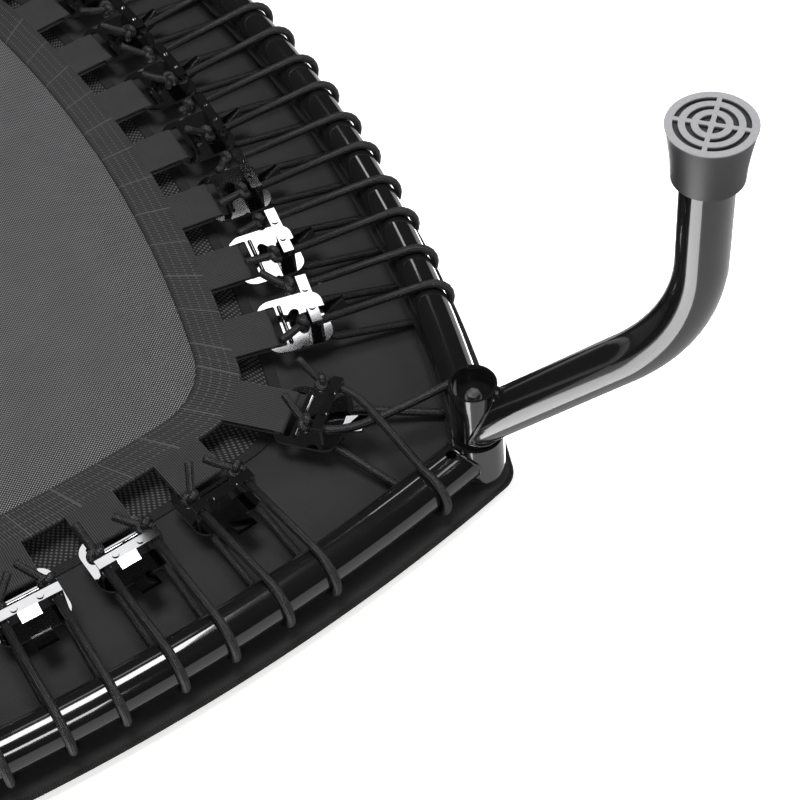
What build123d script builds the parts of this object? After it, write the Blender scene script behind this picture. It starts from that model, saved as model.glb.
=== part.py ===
"""Four-cornered rebounder: a bowed tubular frame, a corded jumping mat and four plug-in legs.

Millimetres, +Z up, as it stands in use. The origin is on the floor under the middle of the mat.
The corners stand at 45, 135, 225 and 315 degrees about +Z, and each side bows outwards between two.
Heights are counted from FRAME_Z, the height of the middle of the side tubes.
"""
from build123d import *
from math import sin, cos, tan, pi, sqrt, radians, degrees, acos, atan2, hypot, ceil
import os

# ---- frame ----
SIDES = 4
POST_CIRCLE_R = 675.0        # centre of the trampoline to the axis of a corner post
SIDE_ARC_R = 1620.0          # each side tube is bent to this radius
TUBE_D = 38.0                # side tube
TUBE_WALL = 1.5
VENT_D = 9.0                 # coating drain hole near each end of a side tube
VENT_FROM_POST = 5.0         # rim of the post to the middle of that hole

POST_WALL = 3.65             # wall of a corner post, a short socket for the leg
POST_BELOW = 24.0            # it reaches this far below the side tubes' middle
POST_CAP_T = 4.0             # disc that closes its top
NUT_AF = 10.0                # weld nut on the disc's underside
NUT_H = 5.0

# ---- leg ----
LEG_TUBE_D = 40.0            # sleeve and arm
LEG_WALL = 2.0
SOCKET_GAP = 0.35            # all round, between sleeve and post
POST_SLEEVE_GAP = 3.0        # sleeve's upper end to the weld nut
SLEEVE_BELOW = 85.0          # sleeve's open lower end below the side tubes' middle
FLOOR_PLATE_T = 4.0          # plate inside the sleeve that the leg bolt pulls on
FLOOR_PLATE_IN = 18.0        # that plate's lower face above the sleeve's lower end
ARM_GAP = 1.0                # post's lower rim to the arm that turns beneath it
ARM_ANGLE = 44.0             # arm falls outwards at this angle below level
ARM_RUN = 172.0              # sleeve axis to the start of the bend, along the arm
ARM_BEND_R = 170.0
SHIN_RUN = 120.0             # straight upright end, down to the foot's inner floor
BOLT_D = 6.0
BOLT_AF = 10.0
BOLT_HEAD_H = 4.5
BOLT_CLEAR = 0.25            # in the floor plate and the washer
NUT_CLEAR = 0.05             # bolt in the weld nut, which it turns in
BOLT_PAST_NUT = 1.5
WASHER_D = 14.0
WASHER_T = 1.5

# ---- rubber foot ----
FOOT_SOLE_T = 8.0
FOOT_H = 46.0
FOOT_COLLAR_D = 51.6
FOOT_FACE_D = 63.0
FOOT_FLARE_AT = 12.0         # height by which the foot has lost most of its flare
FOOT_FLARE_LEFT = 0.6        # flare that is left there, as a part of the whole
GROOVE_DEPTH = 3.0
GROOVE_RINGS = ((26.0, 22.3), (17.6, 13.9), (9.0, 3.2))   # outer and inner radius of each ring
GROOVE_SPOKE_W = 3.4

# ---- mat ----
MAT_Z = 5.0                  # middle of the mat's cloth above the side tubes' middle
MAT_IN = 176.0               # side tube's axis to the mat's outer edge
MAT_T = 1.5
MAT_CORNER_R = 70.0
BORDER_W = 36.0

# ---- clips and straps ----
CLIP_PITCH_MOST = 100.0      # a side has as few clips as stand no further apart than this, along its tube
LAST_CLIP_FROM_POST = 194.99  # post's axis to the middle of the nearest side clip, along the side tube
REAR_WALL_IN = 96.0          # side tube's axis to the outer face of a clip's rear wall
CORNER_CLIP_IN = 125.0       # post's axis to the same face of a corner clip
CLIP_T = 2.5                 # sheet of the clips, and the border's thickness between the strap's layers
CLIP_FRONT = 50.0            # rear wall's outer face to the clip's rounded front end
CLIP_W = 64.0
CLIP_CORNER_R = 14.0
CLIP_WALL_H = 27.0           # mat's plane to the lower face of the bar
CLIP_BAR_L = 58.0
CLIP_BAR_W = 9.5
SLOT_L = 9.5
SLOT_SIDE = 2.0              # slot past the strap, each side
FRONT_BAR = 7.0              # clip's front end to the slot
RIB_R = 2.0                  # stiffening rib behind the slot
RIB_BACK = 4.0
TONGUE_W = 18.0
TONGUE_L = 22.0
TONGUE_ANGLE = 22.0          # the tongue slopes down outwards at this angle
LUG_H = 9.0                  # lug that the shock cord hooks behind
RIVET_D = 6.0
RIVET_SHANK_D = 3.2
RIVET_HEAD_H = 1.2
RIVET_AT = 11.5
STRAP_W = 45.0
STRAP_T = 1.8
STRAP_SEWN = 26.0            # length that lies on the border

# ---- shock cords ----
CORD_D = 7.5
CORD_FROM_BAR_END = 6.0      # bar's end to the middle of the cord
CORD_HOLE_CLEAR = 0.8
CORD_HOLE_EDGE = 0.6         # metal left between a cord hole and the bar
CORD_GAP = 0.3               # cord to the side tube, to the clip and to its lug
CORD_TURN_R = 9.0
BIGHT_OUT = 3.0              # rear wall's outer face to the middle of the hooked part of the cord
KNOT_D = 16.0
CORNER_CORD_AT = 58.0        # post's axis to the corner cord, along the side tube
CORNER_CORD_OUT = 8.0        # straight length out of a corner clip before the cord turns
CORNER_CROSS_GAP = 1.0       # between the two corner strands where they cross
SHORTEST_RUN = 0.01          # two arcs closer than this meet without a straight run

# ---- cover ----
COVER_PAST_CORDS = 1.2       # cords' outermost point to the cover's outer edge
COVER_IN = 150.0             # side tube's axis to the seam with the mesh rim
COVER_T = 10.0
COVER_CORNER_R = 25.0
COVER_INNER_CORNER_R = 70.0
COVER_GAP = 0.3              # above the cords
RIM_W = 44.0                 # mesh rim, from the seam inwards
RIM_T = 3.0
BINDING_W = 10.0
BINDING_T = 1.5

# ---- worked out ----
TUBE_R = TUBE_D / 2
LEG_R = LEG_TUBE_D / 2
CORD_R = CORD_D / 2
KNOT_R = KNOT_D / 2
SOCKET_R = LEG_R + SOCKET_GAP
POST_D = 2 * (SOCKET_R + POST_WALL)
ARM_FALL = radians(ARM_ANGLE)
ARM_BELOW = POST_BELOW + ARM_GAP + LEG_R / cos(ARM_FALL) - SOCKET_R * tan(ARM_FALL)
FRAME_Z = ARM_BELOW + ARM_RUN * sin(ARM_FALL) + ARM_BEND_R * cos(ARM_FALL) + SHIN_RUN + FOOT_SOLE_T
HALF_STEP = pi / SIDES
ARC_BACK = sqrt(SIDE_ARC_R ** 2 - (POST_CIRCLE_R * sin(HALF_STEP)) ** 2) - POST_CIRCLE_R * cos(HALF_STEP)
SIDE_HALF_ANGLE = acos((POST_CIRCLE_R * cos(HALF_STEP) + ARC_BACK) / SIDE_ARC_R)
CLIP_SPREAD = 2 * (SIDE_HALF_ANGLE * SIDE_ARC_R - LAST_CLIP_FROM_POST)
CLIPS_PER_SIDE = ceil(CLIP_SPREAD / CLIP_PITCH_MOST) + 1
CLIP_STEP = CLIP_SPREAD / (CLIPS_PER_SIDE - 1) / SIDE_ARC_R
CAP_Z = FRAME_Z + TUBE_R - POST_CAP_T
NUT_Z = CAP_Z - NUT_H
SLEEVE_TOP_Z = NUT_Z - POST_SLEEVE_GAP
SLEEVE_END_Z = FRAME_Z - SLEEVE_BELOW
PLATE_Z = SLEEVE_END_Z + FLOOR_PLATE_IN
MAT_PLANE = FRAME_Z + MAT_Z
WRAP_R = TUBE_R + CORD_GAP + CORD_R
COVER_Z = FRAME_Z + WRAP_R + CORD_R + COVER_GAP
COVER_OUT = WRAP_R + CORD_R + COVER_PAST_CORDS
CLIP_BACK = BIGHT_OUT + CORD_R + CORD_GAP + CLIP_T
CORD_Y = CLIP_BAR_L / 2 - CORD_FROM_BAR_END
CORD_HOLE_Z = -CLIP_WALL_H + CLIP_T + CORD_HOLE_EDGE + CORD_R + CORD_HOLE_CLEAR
KNOT_Z = -CLIP_WALL_H + CLIP_T + CORD_GAP + KNOT_R
KNOT_X = -CLIP_T - CORD_GAP - KNOT_R
BIGHT_Z = CLIP_T / 2 + CORD_GAP + CORD_R


def solids_of(shape):
    return list(shape.solids())


def save(name, shapes):
    """Write one node: a single solid, or a compound of separate solids."""
    flat = [s for shape in shapes for s in solids_of(shape)]
    body = flat[0] if len(flat) == 1 else Compound(children=flat)
    export_step(body, f"parts/{name}.step")


def corner_turn(k):
    """Turn that carries the corner on +X to corner k."""
    return Rot(0, 0, degrees(HALF_STEP) * (2 * k + 1))


def side_turn(k):
    """Turn that carries the side whose middle is on +X to side k, between corners k and k + 1."""
    return Rot(0, 0, degrees(HALF_STEP) * (2 * k + 2))


def side_place(angle):
    """Frame on the side tube's axis: X outwards, Y along the tube, Z up, at radians along the side's arc."""
    return Pos(-ARC_BACK, 0, FRAME_Z) * Rot(0, 0, degrees(angle)) * Pos(SIDE_ARC_R, 0, 0)


def outline(offset, corner_r):
    """Flat face bounded by the frame's line moved outwards by offset, with rounded corners."""
    arc_r = SIDE_ARC_R + offset
    reach = sqrt(arc_r ** 2 - (ARC_BACK * sin(HALF_STEP)) ** 2) - ARC_BACK * cos(HALF_STEP)
    middle = arc_r - ARC_BACK
    edges = []
    for k in range(SIDES):
        a, b, m = [HALF_STEP * (2 * k + i) for i in (1, 3, 2)]
        edges.append(ThreePointArc((reach * cos(a), reach * sin(a)), (middle * cos(m), middle * sin(m)),
                                   (reach * cos(b), reach * sin(b))))
    face = make_face(edges)
    return fillet(face.vertices(), corner_r)


def ring(outer, outer_r, inner, inner_r, z, height):
    """Band between two offsets of the frame's line."""
    return Pos(0, 0, z) * extrude(outline(outer, outer_r) - outline(inner, inner_r), height)


def tube(r_out, r_in, height):
    return extrude(Circle(r_out) - Circle(r_in), height)


def rod(r, height):
    return extrude(Circle(r), height)


# ---- frame pieces ----
def side_tube():
    """Bowed tube of the side whose middle is on +X, coped to both posts."""
    lap = 0.6 * POST_D / 2 / SIDE_ARC_R
    reach = SIDE_HALF_ANGLE - lap
    arc = CenterArc((-ARC_BACK, 0, FRAME_Z), SIDE_ARC_R, degrees(-reach), degrees(2 * reach))
    section = Plane(origin=arc @ 0, z_dir=arc % 0) * (Circle(TUBE_R) - Circle(TUBE_R - TUBE_WALL))
    body = sweep(section, path=arc)
    for end in (-1, 1):
        x, y = POST_CIRCLE_R * cos(HALF_STEP), end * POST_CIRCLE_R * sin(HALF_STEP)
        body -= Pos(x, y, FRAME_Z - TUBE_D) * rod(POST_D / 2, 2 * TUBE_D)
        vent = end * (SIDE_HALF_ANGLE - (POST_D / 2 + VENT_FROM_POST) / SIDE_ARC_R)
        body -= side_place(vent) * Pos(0, 0, -TUBE_D) * rod(VENT_D / 2, TUBE_D)
    return body


def corner_post():
    low = FRAME_Z - POST_BELOW
    return Pos(POST_CIRCLE_R, 0, low) * tube(POST_D / 2, SOCKET_R, CAP_Z + POST_CAP_T - low)


def post_cap():
    disc = rod(SOCKET_R, POST_CAP_T) - rod(BOLT_D / 2 + BOLT_CLEAR, POST_CAP_T)
    return Pos(POST_CIRCLE_R, 0, CAP_Z) * disc


def weld_nut():
    nut = extrude(RegularPolygon(NUT_AF / sqrt(3), 6) - Circle(BOLT_D / 2 + NUT_CLEAR), NUT_H)
    return Pos(POST_CIRCLE_R, 0, NUT_Z) * nut


# ---- leg pieces, at the corner on +X ----
def leg_sleeve():
    return Pos(POST_CIRCLE_R, 0, SLEEVE_END_Z) * tube(LEG_R, LEG_R - LEG_WALL, SLEEVE_TOP_Z - SLEEVE_END_Z)


def arm_path():
    """Arm's centre line: a falling run, a bend to upright, and the shin."""
    start = Vector(POST_CIRCLE_R, 0, FRAME_Z - ARM_BELOW)
    along = Vector(cos(ARM_FALL), 0, -sin(ARM_FALL))
    knee = start + along * ARM_RUN
    centre = knee + Vector(-sin(ARM_FALL), 0, -cos(ARM_FALL)) * ARM_BEND_R
    ankle = centre + Vector(ARM_BEND_R, 0, 0)
    mid_turn = ARM_FALL + (pi / 2 - ARM_FALL) / 2
    mid = centre + Vector(sin(mid_turn), 0, cos(mid_turn)) * ARM_BEND_R
    upper = Line(start, knee)
    bend = ThreePointArc(knee, mid, ankle)
    shin = Line(ankle, ankle - Vector(0, 0, SHIN_RUN))
    return upper, bend, shin, ankle


def leg_arm():
    upper, bend, shin, _ = arm_path()
    path = Wire([upper, bend, shin])
    section = Plane(origin=upper @ 0, z_dir=upper % 0) * (Circle(LEG_R) - Circle(LEG_R - LEG_WALL))
    body = sweep(section, path=path)
    body -= Pos(POST_CIRCLE_R, 0, SLEEVE_END_Z - LEG_TUBE_D) * rod(LEG_R, 4 * SLEEVE_BELOW)
    return max(body.solids(), key=lambda s: s.volume)


def floor_plate():
    disc = rod(LEG_R - LEG_WALL, FLOOR_PLATE_T) - rod(BOLT_D / 2 + BOLT_CLEAR, FLOOR_PLATE_T)
    return Pos(POST_CIRCLE_R, 0, PLATE_Z) * disc


def leg_washer():
    disc = rod(WASHER_D / 2, WASHER_T) - rod(BOLT_D / 2 + BOLT_CLEAR, WASHER_T)
    return Pos(POST_CIRCLE_R, 0, PLATE_Z - WASHER_T) * disc


def leg_bolt():
    low = PLATE_Z - WASHER_T
    top = CAP_Z + BOLT_PAST_NUT
    head = Pos(POST_CIRCLE_R, 0, low - BOLT_HEAD_H) * extrude(RegularPolygon(BOLT_AF / sqrt(3), 6), BOLT_HEAD_H)
    return head + Pos(POST_CIRCLE_R, 0, low) * rod(BOLT_D / 2, top - low)


def foot():
    """Rubber cap pressed over the shin, with ring grooves in its sole."""
    x = (arm_path()[3]).X
    collar, face, bore = FOOT_COLLAR_D / 2, FOOT_FACE_D / 2, LEG_R
    flare = (collar + FOOT_FLARE_LEFT * (face - collar), FOOT_FLARE_AT)
    half = make_face([
        Line((0, 0), (face, 0)),
        Spline((face, 0), flare, (collar, FOOT_H), tangents=((-0.25, 1), (-0.02, 1))),
        Line((collar, FOOT_H), (bore, FOOT_H)),
        Line((bore, FOOT_H), (bore, FOOT_SOLE_T)),
        Line((bore, FOOT_SOLE_T), (0, FOOT_SOLE_T)),
        Line((0, FOOT_SOLE_T), (0, 0)),
    ])
    body = revolve(Plane.XZ * half, Axis.Z)
    spokes = Rectangle(3 * face, GROOVE_SPOKE_W) + Rectangle(GROOVE_SPOKE_W, 3 * face)
    for outer, inner in GROOVE_RINGS:
        body -= extrude(Circle(outer) - Circle(inner) - spokes, GROOVE_DEPTH)
    return Pos(x, 0, 0) * body


# ---- mat pieces ----
def mat_panel():
    edge = outline(-MAT_IN - BORDER_W / 2, MAT_CORNER_R)
    return Pos(0, 0, MAT_PLANE - MAT_T / 2) * extrude(edge, MAT_T)


def mat_border():
    band = ring(-MAT_IN, MAT_CORNER_R, -MAT_IN - BORDER_W, MAT_CORNER_R, MAT_PLANE - CLIP_T / 2, CLIP_T)
    return band - mat_panel()


def box(x0, x1, y, z0, z1):
    """Box between two X, to either side of Y = 0 and between two Z."""
    return Pos((x0 + x1) / 2, 0, (z0 + z1) / 2) * Box(x1 - x0, 2 * y, z1 - z0)


def clip():
    """Stamped clip. X is outwards from its rear wall's outer face, Y along the side, Z up from the mat."""
    half = CLIP_T / 2
    length = CLIP_FRONT + CLIP_BACK
    profile = Pos(CLIP_BACK - length / 2, 0) * RectangleRounded(length, CLIP_W, CLIP_CORNER_R)
    slot_x = -CLIP_FRONT + FRONT_BAR + SLOT_L / 2
    profile -= Pos(slot_x, 0) * RectangleRounded(SLOT_L, STRAP_W + 2 * SLOT_SIDE, SLOT_SIDE)
    body = Pos(0, 0, -half) * extrude(profile, CLIP_T)
    body += box(-CLIP_T, 0, CLIP_BAR_L / 2, -CLIP_WALL_H, 0)
    body += box(-CLIP_BAR_W, 0, CLIP_BAR_L / 2, -CLIP_WALL_H, -CLIP_WALL_H + CLIP_T)
    rib = Rot(90, 0, 0) * Pos(0, 0, -STRAP_W / 2) * rod(RIB_R, STRAP_W)
    body += Pos(slot_x + SLOT_L / 2 + RIB_BACK, 0, -half) * rib
    body += box(CLIP_BACK - CLIP_T, CLIP_BACK, TONGUE_W / 2, 0, half + LUG_H)
    body += Pos(CLIP_BACK - CLIP_T, 0, 0) * Rot(0, TONGUE_ANGLE, 0) * box(0, TONGUE_L, TONGUE_W / 2, -half, half)
    for side in (-1, 1):
        hole = Rot(0, 90, 0) * rod(CORD_R + CORD_HOLE_CLEAR, 2 * CLIP_T)
        body -= Pos(-1.5 * CLIP_T, side * CORD_Y, CORD_HOLE_Z) * hole
        body -= Pos(-CLIP_BAR_W / 2, side * RIVET_AT, -CLIP_WALL_H) * rod(RIVET_SHANK_D / 2, CLIP_T)
    return body


def rivet():
    """Rivet in the bar of a clip, in the clip's frame, at Y = 0."""
    low = Pos(0, 0, -CLIP_WALL_H - RIVET_HEAD_H) * rod(RIVET_D / 2, RIVET_HEAD_H)
    shank = Pos(0, 0, -CLIP_WALL_H) * rod(RIVET_SHANK_D / 2, CLIP_T)
    return Pos(-CLIP_BAR_W / 2, 0, 0) * (low + shank)


def strap(reach):
    """Webbing from the border, through the slot and back. Reach is from the rear wall to the mat's edge."""
    inner = -CLIP_FRONT + FRONT_BAR
    thick = CLIP_T / 2 + STRAP_T
    loop = box(-reach - STRAP_SEWN, inner + STRAP_T, STRAP_W / 2, -thick, thick)
    return loop - box(-reach - STRAP_SEWN, inner, STRAP_W / 2, -CLIP_T / 2, CLIP_T / 2)


def corner_reach():
    """Corner clip's rear wall to the mat's edge, on the line through the corner."""
    arc_r = SIDE_ARC_R - MAT_IN - MAT_CORNER_R
    edge = sqrt(arc_r ** 2 - (ARC_BACK * sin(HALF_STEP)) ** 2) - ARC_BACK * cos(HALF_STEP) + MAT_CORNER_R
    return POST_CIRCLE_R - CORNER_CLIP_IN - edge


def side_spots():
    """Frames on the side tube's axis, opposite each clip of the side whose middle is on +X."""
    return [side_place((i - (CLIPS_PER_SIDE - 1) / 2) * CLIP_STEP) for i in range(CLIPS_PER_SIDE)]


def side_clip_spots():
    return [spot * Pos(-REAR_WALL_IN, 0, MAT_Z) for spot in side_spots()]


def corner_clip_spot():
    return Pos(POST_CIRCLE_R - CORNER_CLIP_IN, 0, MAT_PLANE)


# ---- shock cords ----
def cord(route, radii):
    """Round cord along straight runs that are joined by tangent arcs."""
    points = [Vector(*p) for p in route]
    edges = []
    start = points[0]
    for before, corner, after, radius in zip(points, points[1:], points[2:], radii):
        a = (before - corner).normalized()
        b = (after - corner).normalized()
        half_open = acos(a.dot(b)) / 2
        back = radius / tan(half_open)
        arc_start = corner + a * back
        arc_mid = corner + (a + b).normalized() * (radius / sin(half_open) - radius)
        arc_end = corner + b * back
        if (arc_start - start).length > SHORTEST_RUN:
            edges.append(Line(start, arc_start))
            start = arc_start
        edges.append(ThreePointArc(start, arc_mid, arc_end))
        start = arc_end
    edges.append(Line(start, points[-1]))
    path = Wire(edges)
    section = Plane(origin=path @ 0, z_dir=path % 0) * Circle(CORD_R)
    return sweep(section, path=path)


def round_tube(low_from, high_from):
    """Corners of a cord's route round the tube, for straight runs from two points (outwards, up)."""
    low_turn = atan2(low_from[1], low_from[0]) % (2 * pi) + acos(WRAP_R / hypot(*low_from))
    high_turn = atan2(high_from[1], high_from[0]) - acos(WRAP_R / hypot(*high_from))
    return [(WRAP_R - WRAP_R * cos(turn)) / sin(turn) for turn in (low_turn, high_turn)]


def knot(y):
    return Pos(KNOT_X, y, KNOT_Z) * Sphere(KNOT_R)


def side_cord():
    """Shock cord of one side clip, in the frame of the side tube's axis opposite the clip."""
    start = (-REAR_WALL_IN - CLIP_T - CORD_R, MAT_Z + CORD_HOLE_Z)
    hook = (-REAR_WALL_IN + BIGHT_OUT, MAT_Z + BIGHT_Z)
    low, high = round_tube(start, hook)
    half = [(start[0], CORD_Y, start[1]), (WRAP_R, CORD_Y, low), (WRAP_R, CORD_Y, high), (hook[0], CORD_Y, hook[1])]
    route = half + [(x, -y, z) for x, y, z in reversed(half)]
    body = cord(route, [WRAP_R, WRAP_R, CORD_TURN_R, CORD_TURN_R, WRAP_R, WRAP_R])
    for side in (-1, 1):
        body += Pos(-REAR_WALL_IN, 0, MAT_Z) * knot(side * CORD_Y)
    return body


def corner_strand(side, cross):
    """Route of one strand of the corner cord, in the frame of the corner clip.

    It leaves the hole on the other side of the clip, goes under the side tube and returns to this side.
    """
    turn = SIDE_HALF_ANGLE - CORNER_CORD_AT / SIDE_ARC_R
    spot = Rot(0, 0, side * degrees(HALF_STEP)) * side_place(-side * turn)
    to_clip = corner_clip_spot().inverse() * spot
    to_tube = to_clip.inverse()

    def in_tube(point):
        at = to_tube * Pos(*point)
        return at.position.X, at.position.Z

    def in_clip(x, z):
        at = to_clip * Pos(x, 0, z)
        return tuple(at.position)

    start = (-CLIP_T - CORD_R, -side * CORD_Y, CORD_HOLE_Z)
    out = (CORNER_CORD_OUT, -side * CORD_Y, CORD_HOLE_Z)
    hook = (BIGHT_OUT, side * CORD_Y, BIGHT_Z)
    far = in_clip(WRAP_R, 0)
    share = out[1] / (out[1] - far[1])
    apart = cross * (CORD_R + CORNER_CROSS_GAP / 2)
    crossing = (out[0] + share * (far[0] - out[0]), 0, CORD_HOLE_Z + apart)
    low, high = round_tube(in_tube(crossing), in_tube(hook))
    under = in_clip(WRAP_R, low)
    over = in_clip(WRAP_R, high)
    return [start, out, crossing, under, over, hook]


def corner_cord():
    """Shock cord of the corner clip on +X, with its two strands crossing under it."""
    route = corner_strand(1, -1) + corner_strand(-1, 1)[::-1]
    one_way = [CORD_TURN_R, 4 * CORD_TURN_R, WRAP_R, WRAP_R, CORD_TURN_R]
    body = cord(route, one_way + one_way[::-1])
    for side in (-1, 1):
        body += knot(side * CORD_Y)
    return corner_clip_spot() * body


# ---- cover pieces ----
def cover_pad():
    return ring(COVER_OUT, COVER_CORNER_R, -COVER_IN, COVER_INNER_CORNER_R, COVER_Z, COVER_T)


def cover_rim():
    return ring(-COVER_IN, COVER_INNER_CORNER_R, -COVER_IN - RIM_W, COVER_INNER_CORNER_R, COVER_Z, RIM_T)


def cover_binding():
    half = BINDING_W / 2
    return ring(-COVER_IN + half, COVER_INNER_CORNER_R, -COVER_IN - half, COVER_INNER_CORNER_R,
                COVER_Z - BINDING_T, BINDING_T)


# ---- build ----
def build_frame():
    tube_piece = side_tube()
    post_piece = corner_post()
    for k in range(SIDES):
        save(f"side_tube_{k + 1}", [side_turn(k) * tube_piece])
        save(f"corner_post_{k + 1}", [corner_turn(k) * post_piece])
    save("post_caps", [corner_turn(k) * post_cap() for k in range(SIDES)])
    save("weld_nuts", [corner_turn(k) * weld_nut() for k in range(SIDES)])


def build_legs():
    pieces = {
        "leg_sleeve": leg_sleeve(),
        "leg_arm": leg_arm(),
        "leg_plate": floor_plate(),
        "leg_washer": leg_washer(),
        "leg_bolt": leg_bolt(),
        "leg_foot": foot(),
    }
    for name, piece in pieces.items():
        for k in range(SIDES):
            save(f"{name}_{k + 1}", [corner_turn(k) * piece])


def build_mat():
    save("mat_panel", [mat_panel()])
    save("mat_border", [mat_border()])
    clip_piece = clip()
    rivet_piece = rivet()
    side_strap = strap(MAT_IN - REAR_WALL_IN)
    corner_strap = strap(corner_reach())
    straps = []
    rivets = []
    corner_clips = []
    for k in range(SIDES):
        spots = [side_turn(k) * spot for spot in side_clip_spots()]
        corner_spot = corner_turn(k) * corner_clip_spot()
        save(f"clips_side_{k + 1}", [spot * clip_piece for spot in spots])
        corner_clips.append(corner_spot * clip_piece)
        straps += [spot * side_strap for spot in spots] + [corner_spot * corner_strap]
        for spot in spots + [corner_spot]:
            rivets += [spot * Pos(0, side * RIVET_AT, 0) * rivet_piece for side in (-1, 1)]
    save("clips_corner", corner_clips)
    save("mat_straps", straps)
    save("clip_rivets", rivets)


def build_cords():
    side_piece = side_cord()
    corner_piece = corner_cord()
    for k in range(SIDES):
        save(f"cords_side_{k + 1}", [side_turn(k) * spot * side_piece for spot in side_spots()])
    save("cords_corner", [corner_turn(k) * corner_piece for k in range(SIDES)])


def build_cover():
    save("cover_pad", [cover_pad()])
    save("cover_rim", [cover_rim()])
    save("cover_binding", [cover_binding()])


os.makedirs("parts", exist_ok=True)
build_frame()
build_legs()
build_mat()
build_cords()
build_cover()
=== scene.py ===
"""Finishes the rebounder's frame with cloth, cord, mat and paint, and sets its stage."""
import math
import random

import bmesh
import bpy
from bpy.props import FloatProperty, FloatVectorProperty, IntProperty, PointerProperty
from mathutils import Matrix, Vector


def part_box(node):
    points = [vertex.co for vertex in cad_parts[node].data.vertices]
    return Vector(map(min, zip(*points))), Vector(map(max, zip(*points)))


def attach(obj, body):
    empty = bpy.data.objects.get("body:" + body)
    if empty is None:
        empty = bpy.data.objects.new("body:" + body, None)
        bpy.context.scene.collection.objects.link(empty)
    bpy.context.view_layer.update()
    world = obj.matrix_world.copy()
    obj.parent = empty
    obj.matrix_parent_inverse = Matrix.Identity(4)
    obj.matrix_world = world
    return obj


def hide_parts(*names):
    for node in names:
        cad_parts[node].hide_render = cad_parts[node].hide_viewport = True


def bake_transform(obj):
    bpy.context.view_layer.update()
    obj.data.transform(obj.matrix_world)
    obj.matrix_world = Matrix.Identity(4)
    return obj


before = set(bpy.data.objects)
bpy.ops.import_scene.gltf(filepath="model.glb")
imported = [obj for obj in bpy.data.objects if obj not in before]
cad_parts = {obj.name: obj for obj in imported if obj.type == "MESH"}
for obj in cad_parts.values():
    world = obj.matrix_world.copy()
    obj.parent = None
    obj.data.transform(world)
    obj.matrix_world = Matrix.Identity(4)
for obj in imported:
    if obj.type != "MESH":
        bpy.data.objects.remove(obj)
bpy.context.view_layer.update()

bl_info = {
    "name": "Rebounder",
    "version": (1, 0, 0),
    "blender": (4, 5, 0),
    "location": "View3D > Sidebar > Rebounder",
    "description": "Cloth, cord, mat, welds and paint for a mini trampoline",
    "category": "Object",
}

SIDES = 4
HALF_STEP = math.pi / SIDES
TUBE_R = (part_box("side_tube_1")[1].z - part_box("side_tube_1")[0].z) / 2
FRAME_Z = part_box("side_tube_1")[0].z + TUBE_R
MAT_PLANE = (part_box("mat_panel")[0].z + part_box("mat_panel")[1].z) / 2
COVER_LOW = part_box("cover_pad")[0].z
COVER_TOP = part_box("cover_pad")[1].z
POST_CIRCLE_R = 0.675
SIDE_ARC_R = 1.620
ARC_BACK = math.sqrt(SIDE_ARC_R ** 2 - (POST_CIRCLE_R * math.sin(HALF_STEP)) ** 2) \
    - POST_CIRCLE_R * math.cos(HALF_STEP)
POST_R = 0.024
LEG_R = 0.020
CLIP_PITCH = 0.0965
CLIPS_PER_SIDE = 7
REAR_WALL_IN = 0.096
CORNER_CLIP_IN = 0.125
CLIP_T = 0.0025
CLIP_FRONT = 0.050
FRONT_BAR = 0.007


# ---- sizes and colours that a user would change ----
class ClothSizes(bpy.types.PropertyGroup):
    cover_puff: FloatProperty(name="Cover puff", description="How far the cover's foam crowns between its edges",
                              default=0.0030, unit="LENGTH")
    cover_corner: FloatProperty(name="Cover corner", description="Radius of the cover's outer corners",
                                default=0.025, unit="LENGTH")
    mesh_pitch: FloatProperty(name="Mat mesh pitch", description="Distance between two holes of the mat's weave",
                              default=0.0030, unit="LENGTH")
    rib_pitch: FloatProperty(name="Webbing rib pitch", description="Distance between two ribs of the mat's border",
                             default=0.0026, unit="LENGTH")
    spacer_pitch: FloatProperty(name="Spacer mesh pitch", description="Distance between two holes of the cover's rim",
                                default=0.0052, unit="LENGTH")


class CordSizes(bpy.types.PropertyGroup):
    radius: FloatProperty(name="Cord radius", description="Radius of the shock cord", default=0.00375,
                          unit="LENGTH")
    sides: IntProperty(name="Cord sides", description="Faces round each cord", default=10)
    tail: FloatProperty(name="Knot tail", description="Length of the free end past each knot", default=0.028,
                        unit="LENGTH")


class Finishes(bpy.types.PropertyGroup):
    paint: FloatVectorProperty(name="Paint", description="Powder coat of the tubes", default=(0.006, 0.006, 0.0065),
                               subtype="COLOR")
    cloth: FloatVectorProperty(name="Cover cloth", description="Twill of the cover", default=(0.017, 0.017, 0.0175),
                               subtype="COLOR")
    webbing: FloatVectorProperty(name="Webbing", description="Ribs of the border and straps",
                                 default=(0.040, 0.040, 0.040), subtype="COLOR")
    # The mat's weave is black. The light grey of its threads is a painted highlight: the weave's glints are painted
    # into its colour.
    weave: FloatVectorProperty(name="Mat weave", description="Light threads of the mat", default=(0.29, 0.29, 0.295),
                               subtype="COLOR")
    rubber: FloatVectorProperty(name="Rubber", description="Feet", default=(0.026, 0.026, 0.027), subtype="COLOR")
    plating: FloatVectorProperty(name="Plating", description="Clips and bolts", default=(0.50, 0.50, 0.51),
                                 subtype="COLOR")


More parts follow.
